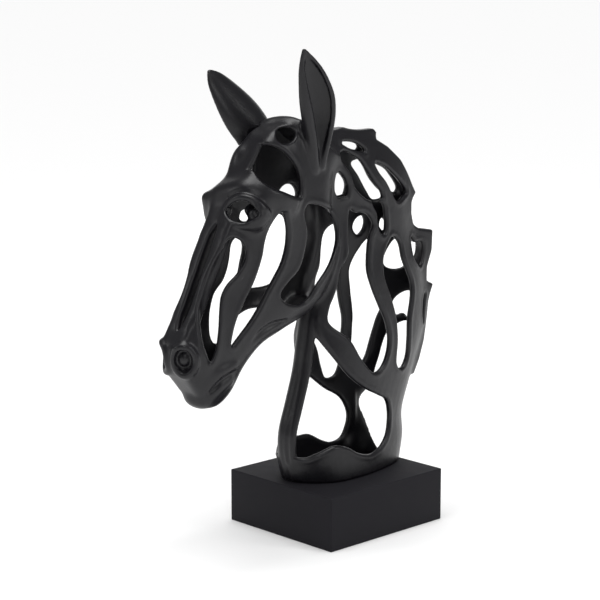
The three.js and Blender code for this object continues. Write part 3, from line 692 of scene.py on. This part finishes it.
@dataclass
class Casting:
    """The horse's head and neck: a thin casting cut through into straps."""

    pitch: float = 1.25
    wall: float = 6.0
    edge_gain: float = 1.5
    ring_steps: int = 5
    rings_per_station: int = 6
    outline_steps: int = 6
    strap_round: float = 5.0
    junction_round: float = 12.0
    bead_height: float = 0.7
    bead_width: float = 2.4
    ear_wall: float = 4.5
    ear_blend: float = 5.0
    rim_tip: float = 1.2
    mane_half: float = 6.5
    mane_round: float = 4.0
    mane_blend: float = 6.0
    swelling_blend: float = 10.0
    back_start: float = 56.0
    slot_depth: float = 13.0
    flange_place: float = 9.0
    flange_half: float = 2.6
    socket_depth: float = 6.0
    far_socket_end: float = -139.0
    finest_faces: int = 190000

    def ring(self, station: Station) -> np.ndarray:
        """Gives the smooth closed section of one station."""
        front, back = np.array(station.front, float), np.array(station.back, float)
        half = [(w, *(front + (back - front) * level)) for level, w in zip(WIDTH_LEVELS, station.widths)]
        row = [(0, *front), *half, (0, *back), *[(-w, y, z) for w, y, z in reversed(half)]]
        return closed_curve(np.array(row, float), self.ring_steps)

    def lofted(self, stations: tuple[Station, ...]) -> tuple[np.ndarray, np.ndarray]:
        """Blends stations into rings and closes their skin.

        Args:
            stations: The stations in order.

        Returns:
            The skin's points, and its triangles.
        """
        rows = np.array([(*s.front, *s.back, *s.widths) for s in stations], float)
        total = (len(stations) - 1) * self.rings_per_station
        rings = []
        for i in range(total + 1):
            row = catmull(rows, i / total)
            rings.append(self.ring(Station("", tuple(row[:2]), tuple(row[2:4]), tuple(row[4:]))))
        return skin(rings)

    def cutter(
        self, field: Field, opening: Opening, sign: int
    ) -> tuple[tuple[slice, ...], np.ndarray, np.ndarray]:
        """Works out the space that an opening takes away on one side.

        Args:
            field: The block of space.
            opening: The opening.
            sign: 1 for the left side, -1 for the right one.

        Returns:
            The part of the block that it reaches, the distance to its outline there, and to the
            level that it starts from.
        """
        if opening.drop:
            edge = self.drop_outline(opening)
        else:
            edge = centripetal_curve(np.array(opening.outline, float), self.outline_steps)
        margin = self.strap_round + 2 * self.pitch
        low, high = edge.min(axis=0) - margin, edge.max(axis=0) + margin
        if opening.turn:
            slices = field.window((*BLOCK_LOW[:2], low[1]), (*BLOCK_HIGH[:2], high[1]))
        else:
            slices = field.window((BLOCK_LOW[0], *low), (BLOCK_HIGH[0], *high))
        x = field.x[slices[0]] * sign
        y = field.y[:, slices[1]]
        z = field.z[:, :, slices[2]]
        if not opening.turn:
            return slices, outline_distance(edge, y.ravel(), z.ravel())[None], opening.start - x
        angle = math.radians(opening.turn)
        columns = np.arange(low[0] - 2, high[0] + 2, self.pitch / 2)
        flat = outline_distance(edge, columns, z.ravel())
        along = (x * math.sin(angle) + y * math.cos(angle))[:, :, 0]
        place = np.clip((along - columns[0]) / (self.pitch / 2), 0, len(columns) - 1.001)
        whole = place.astype(int)
        share = (place - whole)[:, :, None]
        spread = flat[whole] * (1 - share) + flat[whole + 1] * share
        gate = opening.start - (x * math.cos(angle) - y * math.sin(angle))
        return slices, spread, np.maximum(gate, -x)

    @staticmethod
    def drop_outline(opening: Opening) -> np.ndarray:
        """Offsets a drop's middle line to both sides, with round ends."""
        rows = np.array(opening.drop, float)
        line = np.array([catmull(rows, t) for t in np.linspace(0, 1, 25)])
        tangents = np.gradient(line[:, :2], axis=0)
        tangents /= np.linalg.norm(tangents, axis=1)[:, None]
        normals = np.stack([-tangents[:, 1], tangents[:, 0]], axis=1)
        left = line[:, :2] + normals * line[:, 2:]
        right = line[:, :2] - normals * line[:, 2:]
        return np.concatenate([left, right[::-1]])

    def build(self) -> bpy.types.Object:
        """Works out the casting and makes its mesh.

        Returns:
            The casting's object, in metres.
        """
        field = Field(BLOCK_LOW, BLOCK_HIGH, self.pitch)
        head = softened(field.from_mesh(*self.lofted(HEAD)), 2)
        neck = field.from_mesh(*self.lofted(NECK))
        body = smooth_union(head, neck, self.junction_round)
        points, quads = field.to_mesh(body)
        triangles = np.concatenate([quads[:, [0, 1, 2]], quads[:, [0, 2, 3]]])
        hollow = field.from_mesh(points, triangles) + self.wall
        for sign in (1, -1):
            for lump in (BEHIND_NOSTRIL, BEHIND_EYE):
                hollow = np.maximum(hollow, -lump_distance(field.x * sign, field.y, field.z, lump))
        outer = body.copy()
        for ear in (LEFT_EAR, RIGHT_EAR):
            self.add_ear(field, outer, ear)
        self.add_mane(field, outer)
        self.add_brow(field, outer)
        cuts = [self.cutter(field, opening, sign) for opening in OPENINGS for sign in opening.side.value]
        self.add_beads(outer, cuts)
        shell = smooth_overlap(outer, -hollow, self.strap_round)
        for slices, spread, gate in cuts:
            cut = np.maximum(spread + self.edge_gain, gate)
            shell[slices] = smooth_overlap(shell[slices], -cut, self.strap_round)
        self.cut_back(field, shell)
        self.cut_bridge(field, shell, outer)
        self.shape_eyes(field, shell, outer)
        self.shape_muzzle(field, shell)
        self.cut_crown(field, shell)
        self.press(field, shell, STRAP_FOOT, 1, 7)
        self.lay(field, shell, STRAP_GROOVE, 1, carve=True)
        shell = np.maximum(shell, -field.z)
        points, quads = field.to_mesh(shell)
        return self.to_object(points, quads)

    def press(
        self, field: Field, values: np.ndarray, lump: Lump, sign: int, blend: float, carve: bool = False
    ) -> None:
        """Adds a lump to the form, or presses a hollow of its shape into it.

        Args:
            field: The block of space.
            values: The form's distances, which are changed.
            lump: The lump.
            sign: 1 for the left side, -1 for the right one.
            blend: How far the join is rounded.
            carve: Whether the lump is taken away.
        """
        centre = np.array(lump.centre, float) * (sign, 1, 1)
        reach = max(lump.radii) + blend + 3
        slices = field.window(tuple(centre - reach), tuple(centre + reach))
        x, y, z = field.x[slices[0]] * sign, field.y[:, slices[1]], field.z[:, :, slices[2]]
        ball = lump_distance(x, y, z, lump)
        if carve:
            values[slices] = smooth_overlap(values[slices], -ball, blend)
        else:
            values[slices] = smooth_union(values[slices], ball, blend)

    def lay(self, field: Field, values: np.ndarray, ridge: Ridge, sign: int, carve: bool = False) -> None:
        """Lays a round cord on the form, or presses a groove of its shape into it.

        Args:
            field: The block of space.
            values: The form's distances, which are changed.
            ridge: The cord.
            sign: 1 for the left side, -1 for the right one.
            carve: Whether the cord is taken away.
        """
        rows = np.array(ridge.rows, float)
        if ridge.closed:
            line = closed_curve(rows, 5)
            line = np.concatenate([line, line[:1]])
        else:
            line = np.array([catmull(rows, t) for t in np.linspace(0, 1, 5 * (len(rows) - 1) + 1)])
        line[:, 0] *= sign
        reach = line[:, 3].max() + ridge.blend + 3
        slices = field.window(tuple(line[:, :3].min(axis=0) - reach), tuple(line[:, :3].max(axis=0) + reach))
        x, y, z = field.x[slices[0]], field.y[:, slices[1]], field.z[:, :, slices[2]]
        cord = cord_distance(x, y, z, line[:, :3], line[:, 3])
        if carve:
            values[slices] = smooth_overlap(values[slices], -cord, ridge.blend)
        else:
            values[slices] = smooth_union(values[slices], cord, ridge.blend)

    def add_ear(self, field: Field, outer: np.ndarray, ear: Ear) -> None:
        """Adds an ear with a rolled rim along both of its edges.

        Args:
            field: The block of space.
            outer: The outer form, which gains the ear.
            ear: The ear's sizes.
        """
        rows = np.array(ear.rows, float)
        start, end = np.array(ear.root, float), np.array(ear.tip, float)
        along = (end - start) / np.linalg.norm(end - start)
        across = np.cross(np.array(ear.facing, float), along)
        across /= np.linalg.norm(across)
        hollow = np.cross(along, across)
        back = across * math.copysign(1, across[1])
        rings = []
        edges = {1: [], -1: []}
        for i in range(31):
            share, width, depth = catmull(rows, i / 30)
            middle = start + (end - start) * share + back * ear.bow * math.sin(math.pi * share)
            cup = max(depth - self.ear_wall, 0) * math.sin(math.pi * min(share * 1.6, 1) * 0.5)
            angles = np.linspace(0, 2 * math.pi, 40, endpoint=False)
            bulge = np.where(np.sin(angles) < 0, depth * np.sin(angles), -cup * np.sin(angles))
            rings.append(middle + np.outer(width * np.cos(angles), across) + np.outer(bulge, hollow))
            for way, edge in edges.items():
                thick = ear.back_rim if way * across[1] > 0 else ear.front_rim
                thick = self.rim_tip + (thick - self.rim_tip) * min(1, (1 - share) * 2.2)
                edge.append((*(middle + across * way * max(width - thick, 0)), thick))
        outer[:] = smooth_union(outer, field.from_mesh(*skin(rings)), self.ear_blend)
        for edge in edges.values():
            self.lay(field, outer, Ridge("rim", tuple(edge[::3]), 2.5), 1)

    def add_mane(self, field: Field, outer: np.ndarray) -> None:
        """Adds the rib along the crest whose locks end in points."""
        flat = outline_distance(np.array(MANE, float), field.axes[1], field.axes[2])[None]
        rib = smooth_overlap(flat, np.abs(field.x) - self.mane_half, self.mane_round)
        outer[:] = smooth_union(outer, rib, self.mane_blend)

    def add_brow(self, field: Field, outer: np.ndarray) -> None:
        """Adds the swelling around each eye, the brow and the forehead, and the arch between the ears."""
        for sign in (1, -1):
            self.press(field, outer, EYE_SWELLING, sign, self.swelling_blend)
        for ridge in (BROW_RIDGE, FAR_BROW_EDGE, CROWN_ARCH, FOREHEAD):
            self.lay(field, outer, ridge, 1)

    def add_beads(
        self, outer: np.ndarray, cuts: list[tuple[tuple[slice, ...], np.ndarray, np.ndarray]]
    ) -> None:
        """Raises a slight bead along the edge of every opening.

        Args:
            outer: The outer form, which gains the beads.
            cuts: The openings' reach, outline distance and start.
        """
        bead = np.zeros_like(outer)
        for slices, spread, gate in cuts:
            rise = self.bead_height * np.exp(-(((spread - self.bead_width) / self.bead_width) ** 2))
            bead[slices] = np.maximum(bead[slices], np.where(gate < 0, rise, 0))
        outer -= bead

    def cut_back(self, field: Field, shell: np.ndarray) -> None:
        """Cuts the opening low in the right half of the neck's back."""
        edge = centripetal_curve(np.array(BACK_OPENING, float), self.outline_steps)
        slices = field.window((-45, 50, -6), (30, 130, 110))
        x, y, z = field.x[slices[0]], field.y[:, slices[1]], field.z[:, :, slices[2]]
        flat = outline_distance(edge, x.ravel(), z.ravel())[:, None, :]
        cut = np.maximum(flat, self.back_start - y)
        shell[slices] = smooth_overlap(shell[slices], -cut, self.strap_round)

    def cut_bridge(self, field: Field, shell: np.ndarray, outer: np.ndarray) -> None:
        """Cuts the slot down the bridge of the nose and deepens its edges into flanges.

        Args:
            field: The block of space.
            shell: The casting, which is changed.
            outer: Its outer form, which the flanges stay inside.
        """
        top, bottom = np.array(BRIDGE_TOP, float), np.array(BRIDGE_BOTTOM, float)
        down = (bottom - top) / np.linalg.norm(bottom - top)
        length = float(np.linalg.norm(bottom - top))
        slices = field.window((-24, -250, 150), (24, -130, 300))
        x, y, z = field.x[slices[0]], field.y[:, slices[1]], field.z[:, :, slices[2]]
        run = ((y - top[0]) * down[0] + (z - top[1]) * down[1]) / length
        depth = (z - top[1]) * down[0] - (y - top[0]) * down[1]
        half = np.interp(run.ravel(), BRIDGE_SHARES, BRIDGE_HALF_WIDTHS).reshape(run.shape)
        ends = np.maximum(-run, run - 1) * length
        slot = np.maximum(np.maximum(np.abs(x) - half, ends), np.abs(depth) - self.slot_depth)
        shell[slices] = smooth_overlap(shell[slices], -slot, 3)
        across = np.abs(np.abs(x) - self.flange_place) - self.flange_half
        flange = np.maximum(across, np.maximum(np.abs(depth - 8) - 7, ends + 4))
        flange = smooth_overlap(flange, outer[slices], 3)
        shell[slices] = smooth_union(shell[slices], flange, 4)

    def shape_eyes(self, field: Field, shell: np.ndarray, outer: np.ndarray) -> None:
        """Sinks the almond of each eye, and opens the near one and lays its lids.

        Args:
            field: The block of space.
            shell: The casting, which is changed.
            outer: Its outer form, from which the almond's depth counts.
        """
        for sign in EYE_SOCKET.side.value:
            slices, spread, gate = self.cutter(field, EYE_SOCKET, sign)
            recess = np.maximum(np.maximum(spread, gate), -outer[slices] - self.socket_depth)
            if sign < 0:
                recess = np.maximum(recess, self.far_socket_end - field.y[:, slices[1]])
            shell[slices] = smooth_overlap(shell[slices], -recess, 2.5)
        slices, spread, gate = self.cutter(field, EYE_HOLE, 1)
        shell[slices] = smooth_overlap(shell[slices], -np.maximum(spread, gate), 2)
        for ridge in (UPPER_LID, LOWER_LID):
            self.lay(field, shell, ridge, 1)
        self.lay(field, shell, LID_CREASE, 1, carve=True)

    def shape_muzzle(self, field: Field, shell: np.ndarray) -> None:
        """Shapes the chin, the lips, the line of the mouth, and the nostrils with the plug in each."""
        self.press(field, shell, CHIN, 1, 5)
        for sign in (1, -1):
            for ridge in (UPPER_LIP, LOWER_LIP):
                self.lay(field, shell, ridge, sign)
            for groove in (MOUTH, JAW_GROOVE):
                self.lay(field, shell, groove, sign, carve=True)
        for sign in (1, -1):
            self.lay(field, shell, NOSTRIL_RIM, sign)
            self.press(field, shell, NOSTRIL_PIT, sign, 2.5, carve=True)
            self.press(field, shell, NOSTRIL_PLUG, sign, 2)

    def cut_crown(self, field: Field, shell: np.ndarray) -> None:
        """Opens the hollow under the arch between the ears."""
        for sign in (1, -1):
            self.press(field, shell, CROWN_HOLLOW, sign, 3, carve=True)

    def to_object(self, points: np.ndarray, quads: np.ndarray) -> bpy.types.Object:
        """Makes the casting's object, smooths its mesh and thins it to its face budget.

        Args:
            points: The surface's points in millimetres above the foot.
            quads: Its four-sided faces.

        Returns:
            The object, in metres in the part's frame.
        """
        placed = (points + np.array((0, 0, PLINTH_TOP + SEAT_GAP))) * MM
        mesh = bpy.data.meshes.new("horse_head_casting")
        mesh.from_pydata(placed.tolist(), [], quads[:, ::-1].tolist())
        mesh.update()
        piece = bpy.data.objects.new("horse_head_casting", mesh)
        bpy.context.scene.collection.objects.link(piece)
        select_only(piece)
        bpy.ops.object.mode_set(mode="EDIT")
        bpy.ops.mesh.select_all(action="SELECT")
        bpy.ops.mesh.normals_make_consistent(inside=False)
        bpy.ops.object.mode_set(mode="OBJECT")
        smoothing = piece.modifiers.new("smoothed", "SMOOTH")
        smoothing.factor = 0.5
        smoothing.iterations = 3
        bpy.ops.object.modifier_apply(modifier=smoothing.name)
        triangles = 2 * len(piece.data.polygons)
        if triangles > self.finest_faces:
            thinning = piece.modifiers.new("thinned", "DECIMATE")
            thinning.ratio = self.finest_faces / triangles
            bpy.ops.object.modifier_apply(modifier=thinning.name)
        bpy.ops.object.shade_smooth()
        return piece

    def dress(self, piece: bpy.types.Object, finish: bpy.types.Material) -> None:
        """Gives the casting its finish and ties it to the frame."""
        piece.data.materials.append(finish)
        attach(piece, "root")
        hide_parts("horse_head")


def select_only(piece: bpy.types.Object) -> None:
    """Selects one object and makes it the active one."""
    bpy.ops.object.select_all(action="DESELECT")
    piece.select_set(True)
    bpy.context.view_layer.objects.active = piece


def linear(hex_colour: str) -> tuple[float, float, float, float]:
    """Turns an sRGB hex colour to linear light.

    Args:
        hex_colour: The colour as six hex digits.

    Returns:
        Red, green, blue and full cover.
    """
    channels = [int(hex_colour[i : i + 2], 16) / 255 for i in (0, 2, 4)]
    return (*[c / 12.92 if c <= 0.04045 else ((c + 0.055) / 1.055) ** 2.4 for c in channels], 1.0)


def add_node(
    tree: bpy.types.NodeTree, kind: str, settings: dict | None = None, inputs: dict | None = None
) -> bpy.types.Node:
    """Adds a node with its settings, and sets or links its inputs.

    Args:
        tree: The material's node tree.
        kind: The node's type.
        settings: Its own settings by name.
        inputs: Its sockets' values by name, or the sockets that are linked to them.

    Returns:
        The node.
    """
    node = tree.nodes.new(kind)
    for name, value in (settings or {}).items():
        setattr(node, name, value)
    for name, value in (inputs or {}).items():
        if isinstance(value, bpy.types.NodeSocket):
            tree.links.new(value, node.inputs[name])
        else:
            node.inputs[name].default_value = value
    return node


@dataclass(frozen=True)
class LacqueredCasting:
    """Cast metal under satin black lacquer: soft highlights over a slightly uneven skin."""

    colour: str = "0b0a0e"
    worn: str = "121116"
    roughness: float = 0.36
    ripple_mm: float = 9.0
    grit_mm: float = 1.1

    def build(self) -> bpy.types.Material:
        """Makes the material."""
        material = bpy.data.materials.new("lacquered_casting")
        material.use_nodes = True
        tree = material.node_tree
        tree.nodes.clear()
        place = add_node(tree, "ShaderNodeTexCoord")
        ripple = add_node(
            tree,
            "ShaderNodeTexNoise",
            inputs={"Vector": place.outputs["Object"], "Scale": 1 / (self.ripple_mm * MM)},
        )
        grit = add_node(
            tree,
            "ShaderNodeTexNoise",
            inputs={"Vector": place.outputs["Object"], "Scale": 1 / (self.grit_mm * MM), "Detail": 3.0},
        )
        tint = add_node(tree, "ShaderNodeMix", {"data_type": "RGBA"}, {"Factor": ripple.outputs["Fac"]})
        tint.inputs[6].default_value = linear(self.colour)
        tint.inputs[7].default_value = linear(self.worn)
        sheen = add_node(
            tree,
            "ShaderNodeMapRange",
            inputs={
                "Value": grit.outputs["Fac"],
                "To Min": self.roughness - 0.05,
                "To Max": self.roughness + 0.07,
            },
        )
        fine = add_node(
            tree,
            "ShaderNodeBump",
            inputs={"Strength": 0.08, "Distance": 0.4 * MM, "Height": grit.outputs["Fac"]},
        )
        soft = add_node(
            tree,
            "ShaderNodeBump",
            inputs={
                "Strength": 0.25,
                "Distance": 1 * MM,
                "Height": ripple.outputs["Fac"],
                "Normal": fine.outputs["Normal"],
            },
        )
        shader = add_node(
            tree,
            "ShaderNodeBsdfPrincipled",
            inputs={
                "Base Color": tint.outputs[2],
                "Roughness": sheen.outputs["Result"],
                "IOR": 1.42,
                "Normal": soft.outputs["Normal"],
            },
        )
        add_node(tree, "ShaderNodeOutputMaterial", inputs={"Surface": shader.outputs["BSDF"]})
        return material


@dataclass(frozen=True)
class PaintedBlock:
    """Fibreboard under sprayed matte black paint: an even, fine-grained, dull surface."""

    colour: str = "151419"
    light: str = "1b1a1f"
    roughness: float = 0.72
    mottle_mm: float = 14.0
    grain_mm: float = 0.9

    def build(self) -> bpy.types.Material:
        """Makes the material."""
        material = bpy.data.materials.new("matte_painted_block")
        material.use_nodes = True
        tree = material.node_tree
        tree.nodes.clear()
        place = add_node(tree, "ShaderNodeTexCoord")
        mottle = add_node(
            tree,
            "ShaderNodeTexNoise",
            inputs={"Vector": place.outputs["Object"], "Scale": 1 / (self.mottle_mm * MM)},
        )
        grain = add_node(
            tree,
            "ShaderNodeTexNoise",
            inputs={"Vector": place.outputs["Object"], "Scale": 1 / (self.grain_mm * MM)},
        )
        tint = add_node(tree, "ShaderNodeMix", {"data_type": "RGBA"}, {"Factor": mottle.outputs["Fac"]})
        tint.inputs[6].default_value = linear(self.colour)
        tint.inputs[7].default_value = linear(self.light)
        sheen = add_node(
            tree,
            "ShaderNodeMapRange",
            inputs={
                "Value": mottle.outputs["Fac"],
                "To Min": self.roughness - 0.06,
                "To Max": self.roughness + 0.06,
            },
        )
        bump = add_node(
            tree,
            "ShaderNodeBump",
            inputs={"Strength": 0.12, "Distance": 0.3 * MM, "Height": grain.outputs["Fac"]},
        )
        shader = add_node(
            tree,
            "ShaderNodeBsdfPrincipled",
            inputs={
                "Base Color": tint.outputs[2],
                "Roughness": sheen.outputs["Result"],
                "IOR": 1.3,
                "Normal": bump.outputs["Normal"],
            },
        )
        add_node(tree, "ShaderNodeOutputMaterial", inputs={"Surface": shader.outputs["BSDF"]})
        return material


@dataclass
class Plinth:
    """The rectangular block under the casting."""

    width: float = 150.0
    depth: float = 162.0
    height: float = 55.0
    edge: float = 1.2

    def build(self) -> bpy.types.Object:
        """Models the block from a cube, with its edges just rounded.

        Returns:
            The block's object, in metres.
        """
        bpy.ops.object.select_all(action="DESELECT")
        bpy.ops.mesh.primitive_cube_add(size=1, location=(0, 0, self.height / 2 * MM))
        piece = bpy.context.active_object
        piece.name = "plinth_block"
        piece.data.name = "plinth_block"
        piece.scale = (self.width * MM, self.depth * MM, self.height * MM)
        bpy.ops.object.transform_apply(location=True, rotation=True, scale=True)
        rounding = piece.modifiers.new("rounded", "BEVEL")
        rounding.width = self.edge * MM
        rounding.segments = 4
        bpy.ops.object.modifier_apply(modifier=rounding.name)
        bpy.ops.object.shade_smooth_by_angle(angle=math.radians(40))
        return piece

    def dress(self, piece: bpy.types.Object, finish: bpy.types.Material) -> None:
        """Gives the block its finish and ties it to the frame."""
        piece.data.materials.append(finish)
        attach(piece, "root")
        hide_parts("plinth")


@dataclass
class Studio:
    """The pale floor, the lights and the camera."""

    azimuth: float = 46.4
    elevation: float = 10.6
    distance: float = 1.891
    target: tuple[float, float, float] = (-0.055, 0.0, 0.227)
    lit: tuple[float, float, float] = (0.0, 0.0, 0.28)
    lens: float = 108.0

    def add_floor(self) -> None:
        """Lays a wide pale floor under the object."""
        bpy.ops.object.select_all(action="DESELECT")
        bpy.ops.mesh.primitive_plane_add(size=80, location=(0, 0, 0))
        floor = bpy.context.active_object
        floor.name = "studio_floor"
        material = bpy.data.materials.new("white_paper")
        material.use_nodes = True
        shader = material.node_tree.nodes["Principled BSDF"]
        shader.inputs["Base Color"].default_value = linear("fafafa")
        shader.inputs["Roughness"].default_value = 0.9
        floor.data.materials.append(material)

    def add_light(
        self, name: str, place: tuple[float, float, float], size: tuple[float, float], power: float
    ) -> None:
        """Hangs one soft light and aims it at the middle of the sculpture.

        Args:
            name: What the light is for.
            place: Where it hangs, in metres.
            size: Its width and height.
            power: Its power in watts.
        """
        data = bpy.data.lights.new(name, "AREA")
        data.shape = "RECTANGLE"
        data.size, data.size_y = size
        data.energy = power
        lamp = bpy.data.objects.new(name, data)
        lamp.location = place
        aim = Vector(self.lit) - Vector(place)
        lamp.rotation_euler = aim.to_track_quat("-Z", "Y").to_euler()
        bpy.context.scene.collection.objects.link(lamp)

    def add_overhead(self) -> None:
        """Lights the whole floor evenly from above."""
        data = bpy.data.lights.new("overhead_light", "SUN")
        data.energy = 2.7
        data.angle = math.radians(46)
        lamp = bpy.data.objects.new("overhead_light", data)
        lamp.rotation_euler = (math.radians(4), 0, 0)
        bpy.context.scene.collection.objects.link(lamp)

    def add_world(self) -> None:
        """Surrounds the object with even white light."""
        world = bpy.data.worlds.new("white_studio")
        bpy.context.scene.world = world
        world.use_nodes = True
        background = world.node_tree.nodes["Background"]
        background.inputs["Color"].default_value = (1, 1, 1, 1)
        background.inputs["Strength"].default_value = 0.2

    def add_camera(self) -> None:
        """Stands the camera where the photograph was taken from."""
        azimuth, elevation = math.radians(self.azimuth), math.radians(self.elevation)
        level = math.cos(elevation)
        back = Vector((math.sin(azimuth) * level, -math.cos(azimuth) * level, math.sin(elevation)))
        data = bpy.data.cameras.new("photo_camera")
        data.lens = self.lens
        data.sensor_width = 36
        data.clip_end = 60
        camera = bpy.data.objects.new("photo_camera", data)
        camera.location = Vector(self.target) + back * self.distance
        camera.rotation_euler = back.to_track_quat("Z", "Y").to_euler()
        bpy.context.scene.collection.objects.link(camera)
        bpy.context.scene.camera = camera

    def build(self) -> None:
        """Sets up the floor, the lights and the camera."""
        bpy.context.scene.view_settings.view_transform = "Standard"
        self.add_floor()
        self.add_world()
        self.add_overhead()
        self.add_light("front_softbox", (1.9, -1.6, 1.7), (0.9, 0.9), 9)
        self.add_light("left_softbox", (-1.2, -2.0, 1.3), (0.4, 0.9), 7)
        self.add_light("right_softbox", (2.0, 0.9, 1.3), (0.5, 1.2), 12)
        self.add_light("backdrop_light", (-1.9, 1.8, 0.9), (3.0, 1.2), 14)
        self.add_camera()


def main() -> None:
    """Builds each sub-assembly in order and reports the pieces."""
    logging.basicConfig(level=logging.INFO, format="%(message)s")
    Studio().build()
    casting = Casting()
    piece = casting.build()
    casting.dress(piece, LacqueredCasting().build())
    LOG.info("casting: %d faces", len(piece.data.polygons))
    plinth = Plinth()
    block = plinth.build()
    plinth.dress(block, PaintedBlock().build())
    LOG.info("plinth: %d faces", len(block.data.polygons))


if __name__ == "__main__":
    main()
